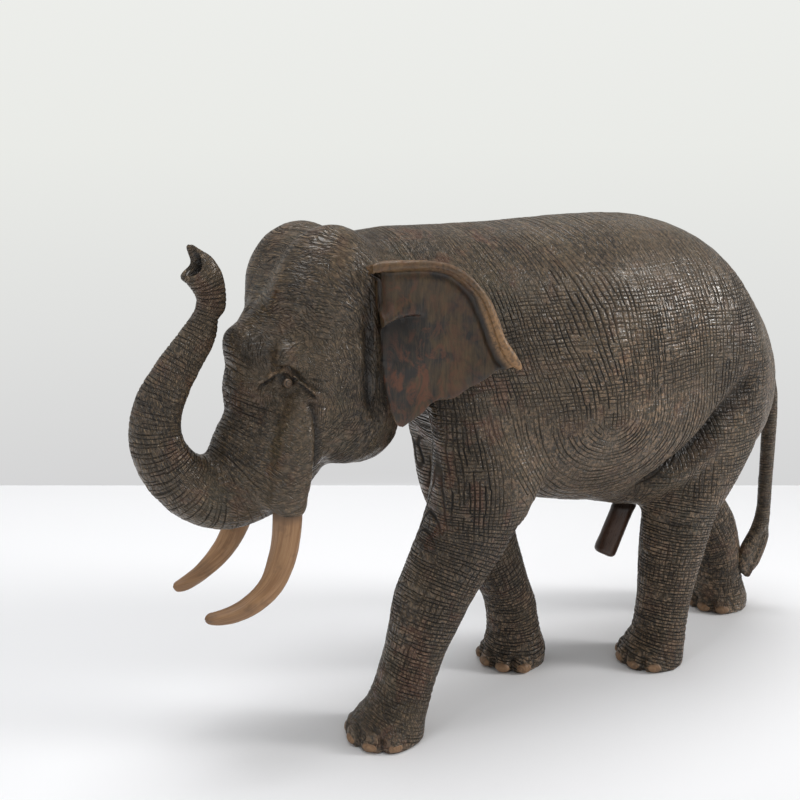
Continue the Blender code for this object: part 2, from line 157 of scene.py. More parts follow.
class Skin:
    """A fine mesh over CAD nodes, held as arrays in millimetres while it is worked."""

    def __init__(self, name, sources, cell):
        base = bmesh.new()
        for source in sources:
            source(base)
        data = bpy.data.meshes.new(name)
        base.to_mesh(data)
        base.free()
        self.thing = show(name, data)
        remesh = self.thing.modifiers.new("Skin", "REMESH")
        remesh.mode = "VOXEL"
        remesh.voxel_size = cell * MM
        evaluated = self.thing.evaluated_get(bpy.context.evaluated_depsgraph_get())
        self.mesh = bpy.data.meshes.new_from_object(evaluated)
        self.thing.modifiers.clear()
        self.thing.data = self.mesh
        self.mesh.name = name
        self.cell = cell
        self.read()

    def read(self):
        """Take the mesh's points and edges into arrays."""
        self.size = len(self.mesh.vertices)
        points = np.empty(self.size * 3)
        self.mesh.vertices.foreach_get("co", points)
        self.p = points.reshape(-1, 3) * 1000 + (SHIFT, 0, 0)
        edges = np.empty(len(self.mesh.edges) * 2, dtype=np.int64)
        self.mesh.edges.foreach_get("vertices", edges)
        self.edges = edges.reshape(-1, 2)
        self.face_up()

    def refine(self, centres, reach):
        """Split the faces near some points in four, where the carving is finest."""
        near = np.zeros(self.size, dtype=bool)
        for centre in centres:
            near |= np.linalg.norm(self.p - centre, axis=1) < reach
        work = bmesh.new()
        work.from_mesh(self.mesh)
        work.verts.ensure_lookup_table()
        edges = [edge for n in np.flatnonzero(near) for edge in work.verts[n].link_edges
                 if edge.verts[0].index == n and near[edge.verts[1].index]]
        bmesh.ops.subdivide_edges(work, edges=edges, cuts=1, use_grid_fill=True)
        bmesh.ops.triangulate(work, faces=[face for face in work.faces if len(face.verts) > 4])
        work.to_mesh(self.mesh)
        work.free()
        self.read()

    def face_up(self):
        """Write the points to the mesh and read its normals again."""
        back = ((self.p - (SHIFT, 0, 0)) * MM).astype(np.float32)
        self.mesh.vertices.foreach_set("co", back.ravel())
        self.mesh.update()
        normals = np.empty(self.size * 3, dtype=np.float32)
        self.mesh.vertex_normals.foreach_get("vector", normals)
        self.n = normals.reshape(-1, 3).astype(float)

    def rub(self, reach, weight=1.0):
        """Smooth away detail finer than reach millimetres, by weight for each point."""
        rounds = max(1, int(round(2.2 * (reach / self.cell) ** 2)))
        a, b = self.edges.T
        count = np.bincount(a, minlength=self.size) + np.bincount(b, minlength=self.size)
        share = (0.5 * np.asarray(weight) / np.maximum(count, 1))
        for _ in range(rounds):
            for axis in range(3):
                value = self.p[:, axis]
                pull = (np.bincount(a, value[b] - value[a], self.size)
                        + np.bincount(b, value[a] - value[b], self.size))
                self.p[:, axis] = value + share * pull
        self.face_up()

    def push(self, height):
        """Move the points along their normals."""
        self.p = self.p + self.n * np.asarray(height)[:, None]

    def stroke(self, path, width, height, inner, soft, taper):
        """A groove (height below 0) or ridge drawn on both flanks along an X, Z path.

        It starts inner from the middle plane, fading in over soft, and tapers at both ends.
        """
        length, gap, run = along(self.p[:, 0], self.p[:, 2], smooth_path(path, 3))
        place = length / run
        fade = ease(0, taper, place) * ease(1, 1 - taper, place)
        deep = bell(gap, width) * fade * ease(inner, inner + soft, np.abs(self.p[:, 1]))
        self.push(height * deep)
        return deep

    def carve(self, *folds):
        """Draw strokes, each ending with how much painted shade it gets. Returns the most painted shade
        at each point.
        """
        return deepest(*(shade * self.stroke(*fold) for *fold, shade in folds))

    def grab(self, centre, reach, move):
        """Pull the points round centre by move."""
        gap = np.linalg.norm(self.p - centre, axis=1)
        self.p = self.p + bell(gap, reach)[:, None] * np.array(move, dtype=float)

    def note(self, **values):
        """Keep numbers for the material, one for each point."""
        for name, value in values.items():
            layers = self.mesh.attributes
            layer = layers.get(name) or layers.new(name, "FLOAT", "POINT")
            layer.data.foreach_set("value", np.full(self.size, value, dtype=np.float32))

    def recall(self, name):
        """Numbers noted before, at the points there are now."""
        value = np.empty(self.size, dtype=np.float32)
        self.mesh.attributes[name].data.foreach_get("value", value)
        return value.astype(float)

    def finish(self, material, slot, *nodes):
        """Hand the skin over in place of its CAD nodes."""
        self.face_up()
        self.mesh.materials.clear()
        self.mesh.materials.append(material)
        self.mesh.shade_smooth()
        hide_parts(*nodes)
        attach(self.thing, "root")
        return self.thing


def node_points(name):
    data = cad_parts[name].data
    points = np.empty(len(data.vertices) * 3)
    data.vertices.foreach_get("co", points)
    return points.reshape(-1, 3) * 1000 + (SHIFT, 0, 0)


def limits(name):
    """A CAD node's lowest and highest corners in millimetres."""
    return [np.array(corner) * 1000 + (SHIFT, 0, 0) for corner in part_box(name)]


def join(mesh, extra):
    """Add one bmesh to another, and free it."""
    spare = bpy.data.meshes.new("spare")
    extra.to_mesh(spare)
    extra.free()
    mesh.from_mesh(spare)
    bpy.data.meshes.remove(spare)


def whole(name, scale=1.0):
    """The whole CAD node, as a source for a skin."""
    def add(mesh):
        extra = bmesh.new()
        extra.from_mesh(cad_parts[name].data)
        if scale != 1.0:
            middle = sum((v.co for v in extra.verts), Vector()) / len(extra.verts)
            for v in extra.verts:
                v.co = middle + (v.co - middle) * scale
        join(mesh, extra)
    return add


def tube(rows):
    """A round rod along rows of x, y, z, radius."""
    corners = np.arange(TUBE_SIDES) * 2 * math.pi / TUBE_SIDES

    def add(mesh):
        line = smooth_path(rows, 4)
        centres = (line[:, :3] - (SHIFT, 0, 0)) * MM
        steps = np.gradient(centres, axis=0)
        loops = []
        for centre, step, radius in zip(centres, steps, line[:, 3] * MM):
            ahead = Vector(step).normalized()
            first = ahead.cross(Vector((0, 1, 0.2))).normalized()
            second = ahead.cross(first)
            loop = []
            for angle in corners:
                out = first * math.cos(angle) + second * math.sin(angle)
                loop.append(mesh.verts.new(Vector(centre) + out * float(radius)))
            loops.append(loop)
        faces = [mesh.faces.new(loops[0][::-1]), mesh.faces.new(loops[-1])]
        for lower, upper in zip(loops, loops[1:]):
            for n in range(TUBE_SIDES):
                m = (n + 1) % TUBE_SIDES
                faces.append(mesh.faces.new((lower[n], lower[m], upper[m], upper[n])))
        bmesh.ops.recalc_face_normals(mesh, faces=faces)
    return add


def plug(name, inside, grow):
    """A solid that fills the pocket of a let-in piece: the hull of its points that are inside."""
    def add(mesh):
        points = node_points(name)
        points = points[inside(points)]
        middle = points.mean(0)
        extra = bmesh.new()
        for x, y, z in middle + (points - middle) * grow:
            extra.verts.new(((x - SHIFT) * MM, y * MM, z * MM))
        made = bmesh.ops.convex_hull(extra, input=extra.verts)
        loose = [v for v in made["geom_interior"] if isinstance(v, bmesh.types.BMVert)]
        bmesh.ops.delete(extra, geom=loose, context="VERTS")
        bmesh.ops.recalc_face_normals(extra, faces=extra.faces)
        join(mesh, extra)
    return add


# ---------------------------------------------------------------- materials

class Nodes:
    """A node tree under construction; sockets and constants may both be given as inputs."""

    def __init__(self, owner):
        owner.use_nodes = True
        self.tree = owner.node_tree

    def plug(self, socket, value):
        if isinstance(value, bpy.types.NodeSocket):
            self.tree.links.new(value, socket)
        elif isinstance(value, tuple) and len(value) == 3 and len(socket.default_value) == 4:
            socket.default_value = (*value, 1.0)
        else:
            socket.default_value = value

    def add(self, kind, inputs=(), out=0, **settings):
        made = self.tree.nodes.new("ShaderNode" + kind)
        for key, value in settings.items():
            setattr(made, key, value)
        for key, value in dict(inputs).items():
            self.plug(made.inputs[key], value)
        return made.outputs[out]


class Paint(Nodes):
    """The nodes of one material."""

    def __init__(self, name):
        self.material = bpy.data.materials.new(name)
        super().__init__(self.material)
        self.shader = self.tree.nodes["Principled BSDF"]

    def value(self, name):
        return self.add("Attribute", attribute_name=name, out="Fac")

    def math(self, operation, a, b=0.0, clamp=False):
        return self.add("Math", {0: a, 1: b}, operation=operation, use_clamp=clamp)

    def times(self, a, b, clamp=False):
        return self.math("MULTIPLY", a, b, clamp)

    def larger(self, a, b, clamp=False):
        return self.math("MAXIMUM", a, b, clamp)

    def steps(self, value, low, high, to_low=0.0, to_high=1.0):
        return self.add("MapRange", {"Value": value, "From Min": low, "From Max": high,
                                     "To Min": to_low, "To Max": to_high},
                        interpolation_type="SMOOTHSTEP")

    def mix(self, factor, a, b, blend="MIX"):
        """Two colours mixed: sockets 6 and 7 of the node are its colour inputs."""
        return self.add("Mix", {0: factor, 6: a, 7: b}, out=2, data_type="RGBA", blend_type=blend)

    def tint(self, colour, *layers):
        """A colour under layers of other colours, each given with how far it covers."""
        for cover, tone in layers:
            colour = self.mix(cover, colour, tone)
        return colour

    def position(self, scale=(1, 1, 1)):
        """Object coordinates, which the frame keeps in metres, stretched."""
        place = self.add("TexCoord", out="Object")
        return self.add("Mapping", {"Vector": place, "Scale": scale})

    def noise(self, scale, detail=3.0, rough=0.55, warp=0.0, stretch=(1, 1, 1), vector=None):
        return self.add("TexNoise", {"Vector": vector or self.position(stretch), "Scale": scale,
                                     "Detail": detail, "Roughness": rough, "Distortion": warp},
                        out="Fac")

    def combine(self, x, y, z=0.0):
        return self.add("CombineXYZ", {0: x, 1: y, 2: z})

    def bump(self, height, distance, strength=1.0, normal=None):
        inputs = {"Height": height, "Distance": distance, "Strength": strength}
        if normal:
            inputs["Normal"] = normal
        return self.add("Bump", inputs, out="Normal")

    def set(self, name, value):
        self.plug(self.shader.inputs[name], value)

    def finish(self, colour, roughness, normal):
        self.set("Base Color", colour)
        self.set("Roughness", roughness)
        self.set("Normal", normal)
        return self.material


def groove_lines(paint, phase, depth):
    """V cuts centred on the whole numbers of a phase, as deep as depth says."""
    fold = paint.math("PINGPONG", phase, 0.5)
    cut = paint.steps(fold, 0.24, 0.02)
    return paint.times(cut, depth)


def carved_wood():
    """Stained, waxed wood: dark cuts, painted shade in creases, brown ridges of wear and painted
    highlight, painted glints, red patches.
    """
    paint = Paint("carved_body_wood")
    cuts = None
    for family in "abcd":
        cut = groove_lines(paint, paint.value("line_" + family), paint.value("deep_" + family))
        cuts = cut if cuts is None else paint.larger(cuts, cut)
    hollow, red = paint.value("hollow"), paint.value("red")
    across, down = paint.value("fine_u"), paint.value("fine_v")

    sway = paint.steps(paint.noise(62, 2, 0.5), 0.2, 0.8, -1.3, 1.3)
    patches = paint.noise(75, 2, 0.5)

    def hatch(slant, pitch, length, low, high):
        """Short straight cuts along the flow of the carving, turned by slant, in soft patches."""
        u = paint.math("ADD", across, paint.times(down, slant))
        u = paint.math("ADD", paint.math("DIVIDE", u, pitch), sway)
        v = paint.math("SUBTRACT", down, paint.times(across, slant))
        row = paint.math("ROUND", u)
        shift = paint.add("TexWhiteNoise", {"W": row}, noise_dimensions="1D")
        cell = paint.math("ADD", paint.math("DIVIDE", v, length), paint.times(shift, 9))
        ends = paint.math("PINGPONG", cell, 0.5)
        place = paint.combine(row, paint.math("FLOOR", cell), slant)
        chance = paint.add("TexWhiteNoise", {"Vector": place})
        depth = paint.times(paint.steps(chance, 0.25, 0.6), paint.steps(ends, 0.0, 0.12))
        depth = paint.times(depth, paint.steps(patches, low, high))
        return groove_lines(paint, u, depth)

    nicks = paint.larger(hatch(0.2, 1.25, 7.0, 0.36, 0.52), hatch(-0.5, 1.45, 6.0, 0.66, 0.48))
    nicks = paint.larger(nicks, paint.times(hatch(1.4, 2.6, 9.0, 0.44, 0.6), 0.8))
    nicks = paint.times(nicks, paint.value("fine"))
    cuts = paint.larger(cuts, paint.times(nicks, 0.75))
    # Painted glints: pale specks standing in for highlights on the waxed ridges.
    glint_place = paint.combine(paint.times(across, 1.7), paint.times(down, 0.5))
    painted_glint = paint.steps(paint.noise(1.0, 2, 0.6, vector=glint_place), 0.54, 0.70)
    fibres = paint.combine(paint.times(across, 0.64), paint.times(down, 0.1))
    streak = paint.noise(1.0, 3, 0.6, vector=fibres)
    broad = paint.noise(22, 3, 0.55)
    speckle = paint.noise(420, 3, 0.6)
    grit = paint.noise(1500, 2, 0.6)

    olive = paint.steps(paint.noise(34, 3, 0.6, stretch=(1, 1, 0.7)), 0.5, 0.68, 0.0, 0.5)
    rust = paint.times(paint.steps(paint.noise(60, 4, 0.62, 0.4), 0.52, 0.66), red)
    ridge = paint.math("SUBTRACT", 1.0, cuts)
    # Tan on the ridges: wear, and painted highlight where the flank, rump, thigh and upper lid catch
    # the light.
    ridge_wear_and_light = paint.times(paint.times(ridge, paint.value("worn")),
                         paint.steps(speckle, 0.46, 0.62), clamp=True)
    # Darkest in the cuts, with painted shade in the creases, folds and hollows.
    dark = paint.larger(paint.times(cuts, 0.88), paint.times(hollow, 0.88), clamp=True)
    colour = paint.tint((0.0135, 0.0094, 0.0058),
                        (paint.steps(broad, 0.32, 0.68), (0.060, 0.0425, 0.0245)),
                        (paint.steps(streak, 0.35, 0.7, 0.0, 0.6), (0.100, 0.072, 0.042)),
                        (olive, (0.068, 0.058, 0.035)),
                        (paint.times(rust, 0.6), (0.130, 0.052, 0.028)),
                        (paint.times(painted_glint, 0.85), (0.235, 0.165, 0.092)),
                        (ridge_wear_and_light, (0.33, 0.215, 0.128)),
                        (dark, (0.0065, 0.0048, 0.0036)))
    grain = paint.steps(grit, 0.3, 0.7, 0.86, 1.12)
    tone = paint.add("CombineColor", {0: grain, 1: grain, 2: grain})
    colour = paint.mix(1.0, colour, tone, "MULTIPLY")

    rough = paint.steps(cuts, 0.0, 0.6, 0.29, 0.85)
    rough = paint.math("SUBTRACT", rough, paint.times(ridge_wear_and_light, 0.10))
    rough = paint.math("ADD", rough, paint.steps(speckle, 0.3, 0.7, -0.06, 0.08), clamp=True)
    normal = paint.bump(cuts, -0.0010, 1.0)
    normal = paint.bump(streak, 0.00022, 0.6, normal)
    normal = paint.bump(grit, 0.00008, 0.5, normal)
    return paint.finish(colour, rough, normal)


def ear_wood():
    """Smooth thin wood: olive brown, dark and rust blots, fine upright grain, copper rim."""
    paint = Paint("ear_wood")
    hair = paint.noise(1100, 4, 0.65, stretch=(1, 1, 0.10))
    soft = paint.noise(300, 3, 0.6, stretch=(1, 1, 0.2))
    patch = paint.noise(48, 4, 0.62, 0.6, stretch=(1, 1, 0.7))
    blot = paint.noise(110, 6, 0.72, 1.2, stretch=(1, 1, 0.7))
    speck = paint.noise(520, 3, 0.6)
    dark = paint.larger(paint.steps(patch, 0.45, 0.59), paint.value("lobe"), clamp=True)
    rust = paint.times(paint.steps(blot, 0.46, 0.60), paint.value("red"))
    copper = paint.times(paint.value("edge"), paint.steps(speck, 0.34, 0.6, 0.35, 1.0))
    colour = paint.tint((0.034, 0.0215, 0.0105),
                        (paint.steps(soft, 0.3, 0.7), (0.080, 0.0490, 0.0200)),
                        (dark, (0.0135, 0.0115, 0.0105)),
                        (paint.steps(hair, 0.42, 0.68, 0.0, 0.35), (0.105, 0.072, 0.038)),
                        (paint.steps(hair, 0.50, 0.36, 0.0, 0.35), (0.014, 0.0115, 0.009)),
                        (paint.times(rust, 0.8), (0.125, 0.043, 0.019)),
                        (copper, (0.32, 0.178, 0.078)),
                        # Painted shade in the ear's gutter, under its fold and on its inner side.
                        (paint.times(paint.value("hollow"), 0.93), (0.0075, 0.0062, 0.0055)))
    normal = paint.bump(hair, 0.0002, 0.6)
    normal = paint.bump(soft, 0.0005, 0.5, normal)
    return paint.finish(colour, paint.steps(hair, 0.3, 0.7, 0.34, 0.56), normal)


def pale_wood(name, light, mid, dark, polish=0.42):
    """Light satin wood with grain along the piece, dark blots, and darker where each piece sets its
    darkening.
    """
    paint = Paint(name)
    run = paint.combine(paint.value("girth"), paint.times(paint.value("run"), 0.045))
    grain = paint.noise(0.9, 4, 0.6, 0.3, vector=run)
    fibre = paint.noise(3.4, 3, 0.6, vector=run)
    blot = paint.noise(95, 3, 0.6)
    colour = paint.tint(mid, (paint.steps(grain, 0.3, 0.7), light),
                        (paint.steps(fibre, 0.45, 0.75, 0.0, 0.55), mid),
                        (paint.steps(blot, 0.5, 0.75, 0.0, 0.55), dark),
                        (paint.value("stain"), dark))
    rough = paint.steps(fibre, 0.3, 0.7, polish - 0.06, polish + 0.12)
    normal = paint.bump(fibre, 0.00014, 0.5)
    normal = paint.bump(grain, 0.0003, 0.4, normal)
    return paint.finish(colour, rough, normal)


# ---------------------------------------------------------------- the carved block

# Leg centre lines, sole upwards: z, x, y.
LEG_LINES = {
    ("front", LEFT): [(0, 160, 23), (17, 153, 23), (45, 142, 23), (86, 128, 26), (131, 105, 32),
                      (175, 98, 34)],
    ("front", RIGHT): [(0, 38, -22), (17, 37, -22), (46, 42, -22), (90, 63, -25), (134, 74, -31),
                       (175, 80, -34)],
    ("rear", LEFT): [(0, -44.5, 23), (17, -49.5, 23), (47, -54, 23), (96, -60, 26), (131, -69, 28),
                     (172, -79, 28)],
    ("rear", RIGHT): [(0, -152, -24), (17, -151.5, -24), (47, -146, -24), (90, -119, -26),
                      (135, -85, -28), (172, -80, -28)],
}
FOOT_MIDDLES = {("front", LEFT): (160, 23), ("front", RIGHT): (38, -22),
                ("rear", LEFT): (-44.5, 23), ("rear", RIGHT): (-152, -24)}

# The trunk's centre line from the brow to the tip: x, z.
TRUNK_LINE = [(196, 300), (203, 262), (207, 232), (213, 205), (226, 178), (243, 162), (258, 160),
              (269.5, 167), (279, 179), (283, 194), (279.5, 211), (268, 230), (256.5, 245),
              (250.5, 257), (250, 267), (253, 276), (256.5, 286), (258.5, 294)]
TRUNK_START = 68.0                   # length along that line where the trunk's own rings begin

ARC_MIDDLE = (30.8, 190.5)           # where the flank's hanging arcs are centred
EYE_MIDDLE = (221.0, 219.5)
RING_PITCH = 2.15
LINE_PITCH = 2.5
LEG_LINE_COUNT, TRUNK_LINE_COUNT = 42, 40


def sculpt_face(skin):
    """Brow, trunk root, mouth and the valley before the ear. Returns painted shade for them."""
    x, y, z = skin.p.T
    skin.push(-1.6 * bell(y, 4.5) * ease(188, 200, x) * ease(246, 262, z))
    bridge = bell(x - 232, 16) * bell(y, 22) * bell(z - 254, 17)
    skin.p[:, 0] += 6.5 * bridge * (1 - ease(238, 243, x) * ease(252, 258, z))
    skin.face_up()
    # The brow, the trunk's root, the ridge over the eye, the mouth, the cheek, behind the ear.
    hollow = skin.carve(
        ([(226.1, 260.5), (212.6, 254.5), (201.4, 258.8)], 9, -2.2, 18, 10, 0.2, 0),
        ([(206, 249), (216, 240), (224, 243)], 8, -1.6, 18, 10, 0.2, 0),
        ([(235, 254), (235.2, 245), (235.6, 236), (236.6, 226), (238, 212), (240, 196)],
         8.5, -2.8, 17, 8, 0.3, 0.8),
        ([(236, 226), (229.2, 230.4), (222.6, 231), (217, 229.4), (210, 224.5)],
         3.2, 2.0, 20, 7, 0.2, 0),
        ([(213.5, 214), (210.2, 203), (208.6, 190), (208.4, 176), (208.5, 163), (210, 152)],
         2.4, -2.8, 20, 8, 0.12, 1),
        ([(217, 212), (215.4, 196), (214.8, 180), (215, 160)], 3.4, 1.2, 20, 8, 0.2, 0),
        ([(222.5, 205), (221.4, 190), (221.2, 176), (221.5, 164)], 1.8, 0.6, 20, 8, 0.3, 0),
        ([(203, 205), (197, 214), (196, 226), (199, 238)], 6, -0.9, 26, 8, 0.3, 0),
        ([(179, 276), (177.5, 262), (178, 248), (179, 236), (179, 222), (177.5, 208),
          (175, 196)], 3.4, -2.8, 30, 8, 0.15, 1))
    shadow = bell(x - 231, 8) * bell(z - 241, 16) * ease(9, 15, np.abs(y))
    skin.face_up()

    # The outer face of the trunk is a flat strip between two ridges.
    length, gap, _ = along(skin.p[:, 0], skin.p[:, 2], smooth_path(TRUNK_LINE))
    outer = np.degrees(np.arctan2(np.abs(skin.p[:, 1]), gap))
    on_trunk = ease(150, 175, length) * ease(214, 226, skin.p[:, 0])
    skin.push(on_trunk * (0.8 * bell(outer - 48, 11) - 0.7 * bell(outer, 30)))
    return deepest(hollow, 0.75 * shadow)


# Creases round the eye, X and Z: under the upper lid, above the lower lid, and the bag.
UPPER_LID = [(235.1, 215), (231.2, 217.6), (226.8, 220.8), (223.4, 223.8), (221.1, 224.5),
             (218.4, 221.9), (214.6, 218.4), (209.6, 213.7), (206, 211)]
LOWER_LID = [(231.3, 216.2), (226.8, 217.5), (223, 217.9), (219.6, 218.6), (217.3, 219.6)]
EYE_BAG = [(230.4, 213.4), (225.3, 212.7), (220.8, 213.3), (216.5, 216.4)]
BEAD_MOVE = (2.7, -1.0, -0.3)        # how far the bead's face sits from the middle of its peg
BEAD_SCALE = 0.78


def sculpt_eyes(skin):
    """The eye's almond-shaped dip, a thick upper lid with a fold above it, lower lid and bag. Returns
    their painted shade and the lid.
    """
    upper, lower, bag = (np.array(row) for row in (UPPER_LID, LOWER_LID, EYE_BAG))
    above = np.array([0.0, 1.0])
    x, y, z = skin.p.T
    low, high = np.interp(x, *lower[::-1].T), np.interp(x, *upper[::-1].T)
    almond = ease(-0.6, 0.8, z - low) * ease(-0.6, 0.8, high - z) * band(217.5, 230.5, 2, x)
    almond = almond * ease(22, 28, np.abs(y))
    skin.p[:, 1] -= np.sign(y) * 2.2 * almond
    lid = skin.stroke(upper + 1.9 * above, 1.7, 2.0, 15, 6, 0.2)
    skin.stroke(lower - 1.2 * above, 1.1, 0.9, 22, 6, 0.3)
    skin.face_up()
    dark = skin.carve((upper, 0.85, -1.6, 15, 6, 0.12, 1.1),
                      (upper + 4.6 * above, 0.9, -1.1, 22, 6, 0.25, 0.7),
                      (bag, 0.9, -1.0, 22, 6, 0.3, 0.7),
                      ([(211, 219.5), (205, 216), (199, 214.5)], 0.8, -0.7, 22, 6, 0.3, 0.7),
                      ([(212, 223.4), (205, 221.6), (198, 221.6)], 0.8, -0.7, 22, 6, 0.3, 0.7),
                      ([(216, 209.6), (208, 209), (201, 206)], 0.8, -0.7, 22, 6, 0.3, 0.7))
    skin.face_up()
    return np.minimum(deepest(dark, almond), 1), lid


def sculpt_trunk_tip(skin):
    """Lower lip, upper finger, and two nostrils side by side in the notch between them. Returns painted
    shade in the notch and nostrils.
    """
    skin.grab((262.5, 0, 275.5), 6.0, (6.0, 0, -0.8))
    skin.grab((256, 0, 289), 5.0, (5.2, 0, 3.4))
    skin.grab((258, 0, 267), 4.5, (1.6, 0, 0))
    x, y, z = skin.p.T
    ahead = 0.87 * (x - 262.5) + 0.5 * (z - 283)
    down = 0.5 * (x - 262.5) - 0.87 * (z - 283)
    face = ease(-8, -3.5, ahead)
    notch = bell(down, 5.4) * face
    move = -3.4 * notch + 1.2 * bell(y, 1.1) * notch
    hollow = 0.45 * ease(0.4, 0.9, notch) * ease(7.5, 5.5, np.abs(y))
    for side in (LEFT, RIGHT):
        slit = np.exp(-(((y - side * 3.6) / 2.3) ** 2 + (down / 5.8) ** 2) ** 2) * face
        move = move - 6.0 * slit
        hollow = np.maximum(hollow, 1.4 * ease(0.12, 0.5, slit))
    skin.p[:, 0] += 0.87 * move
    skin.p[:, 2] += 0.5 * move
    return np.minimum(hollow, 1)


def sculpt_torso(skin):
    """Hock, flank, knee, chest, elbow, neck and shoulder folds. Returns painted shade for the folds."""
    x, y, z = skin.p.T
    skin.p[:, 0] += 9 * bell(z - 101, 19) * ease(-64, -94, x) * ease(0, 8, y)
    skin.face_up()
    hollow = skin.carve(
        ([(4, 117), (-3.2, 124.1), (-13.7, 135.5), (-22.9, 143.9), (-31.6, 149.8),
          (-46.6, 160.9), (-59.2, 172.4), (-75.5, 184.6), (-86, 196), (-93, 207)],
         8.5, -7.4, 14, 10, 0.2, 0.9),
        ([(-3.2, 124.1), (-13.7, 135), (-22.9, 143.2), (-31.6, 149), (-46.6, 160.2),
          (-59.2, 171.8), (-75.5, 184)], 3.6, -4.6, 14, 10, 0.25, 1.2),
        ([(-18, 124), (-34, 138), (-52, 153), (-72, 172)], 9, 3.2, 26, 12, 0.3, 0),
        ([(-31, 109), (-42.7, 101.6), (-54, 105)], 2.0, -1.2, 30, 8, 0.3, 0.7),
        ([(-34, 101), (-44, 94), (-56, 98)], 1.8, -0.7, 30, 8, 0.3, 0.42),
        ([(149.5, 192), (146.5, 178), (145.6, 165), (147, 151), (150, 140)],
         3.0, -2.2, 30, 10, 0.2, 0.85),
        ([(160, 186), (154, 180), (150, 172)], 5, -2.0, 18, 8, 0.3, 0.9),
        ([(98, 114), (90, 121), (83.6, 128), (75, 140)], 2.6, -1.7, 34, 8, 0.3, 0.6),
        ([(86, 112), (78, 124), (72, 136)], 2.2, -0.9, 34, 8, 0.3, 0.6),
        ([(92, 150), (86, 136), (82, 124)], 5, 0.9, 34, 8, 0.3, 0),
        ([(152, 262), (148, 240), (146, 215)], 6, -1.6, 34, 8, 0.3, 0.5),
        ([(70, 270), (62, 240), (66, 205), (74, 178)], 12, -1.1, 34, 14, 0.3, 0))
    skin.face_up()
    spine = bell(skin.p[:, 1], 7) * band(-110, 150, 25, skin.p[:, 0])
    skin.push(0.7 * spine * ease(0.5, 0.9, skin.n[:, 2]))
    return hollow


def nail_middles(leg):
    """Angle round the foot, and height, of each toenail of one leg, from its CAD node."""
    end, side = leg
    fx, fy = FOOT_MIDDLES[leg]
    found = []
    for name in sorted(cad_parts):
        if name.startswith(f"nail_{end}_{SIDE_NAMES[side]}"):
            low, high = limits(name)
            cx, cy, cz = (low + high) / 2
            found.append((math.atan2(cy - fy, cx - fx), cz))
    return found


def sculpt_feet(skin):
    """A soft lobe over each toe with an arched fold above its nail, and folds at the ankles; returns
    painted shade in them.
    """
    hollow = np.zeros(skin.size)
    x, y, z = skin.p.T
    for leg, (fx, fy) in FOOT_MIDDLES.items():
        turn = np.arctan2(y - fy, x - fx)
        radius = np.hypot(x - fx, y - fy)
        here = ease(33, 27, radius) * ease(26, 17, z)
        nails = nail_middles(leg)
        height = np.zeros(skin.size)
        for angle, cz in nails:
            off = (turn - angle + math.pi) % (2 * math.pi) - math.pi
            ring = np.hypot(off * 22 / 6.6, (z - cz) / 7.6)
            height += 1.1 * bell(ring, 0.95) - 0.5 * np.exp(-(ring / 0.6) ** 4)
            arch = bell(ring - 1.22, 0.15) * ease(2.0, 5.0, z)
            height -= 0.8 * arch
            hollow = np.maximum(hollow, 0.55 * arch * here)
        for (one, _), (two, _) in zip(sorted(nails), sorted(nails)[1:]):
            off = (turn - (one + two) / 2 + math.pi) % (2 * math.pi) - math.pi
            cleft = bell(off * 22, 1.7) * ease(16, 8, z)
            height -= 1.4 * cleft
            hollow = np.maximum(hollow, 0.7 * cleft * here)
        skin.push(height * here)
    skin.face_up()
    creases = np.zeros(skin.size)
    for level, depth in ((20.5, 0.5), (25, 0.9), (29.5, 0.6), (35, 0.45)):
        wave = level + 1.6 * noise(skin.p, 14, 5) + 0.8 * noise(skin.p, 6, 6)
        creases += depth * bell(skin.p[:, 2] - wave, 0.8)
    skin.push(-creases)
    return np.maximum(hollow, 0.45 * creases)


def leg_lines(p):
    """On the legs: how far the rings slide, how much is leg, and the lines that run down."""
    x, y, z = p.T
    slide, leg, upright, phase = np.zeros((4, len(p)))
    for (end, side), rows in LEG_LINES.items():
        line = smooth_path(rows, 3)
        level, top = (118, 150) if end == "front" else (108, 135)
        run = np.cumsum(np.hypot(*np.diff(line[:, :2], axis=0, prepend=line[:1, :2]).T))
        length = along(x, z, line[:, [1, 0]], True)[0] - np.interp(level, line[:, 0], run)
        middle_x, middle_y = (np.interp(z, line[:, 0], line[:, n]) for n in (1, 2))
        here = ease(top, top - 45, z) * ease(42, 34, np.abs(x - middle_x))
        here = here * ease(4, -2, -y * side) * (1 - 0.15 * ease(2, 6, -y * side))
        slide += here * (length + level - z)
        leg = deepest(leg, here)
        turn = np.arctan2((y - middle_y) * side, x - middle_x)
        split = ease(0.12, 0.4, math.pi - np.abs(turn)) * here
        phase = np.where(split > upright, turn / (2 * math.pi) * LEG_LINE_COUNT, phase)
        upright = deepest(upright, split)
    return slide, leg, upright, phase


def strokes(p, seed, line, cross, deep, run):
    """Cut a family of lines in strokes about run long, of uneven depth."""
    index = np.round(line).astype(np.int64)
    none = np.zeros_like(index)
    cell = np.floor(cross / run + 3 * lattice(index, none, none, 31)).astype(np.int64)
    chance = lattice(index, cell, none, 32) * 0.5 + 0.5
    stroke = np.where(chance < 0.12, 0.1, 0.5 + 0.6 * chance)
    patchy = 0.85 + 0.45 * noise(p, 17, seed)
    shake = 0.16 * lattice(index, cell, none, 34) * (deep > 0.05)
    return line + shake, np.clip(deep * stroke * patchy, 0, 1.25)


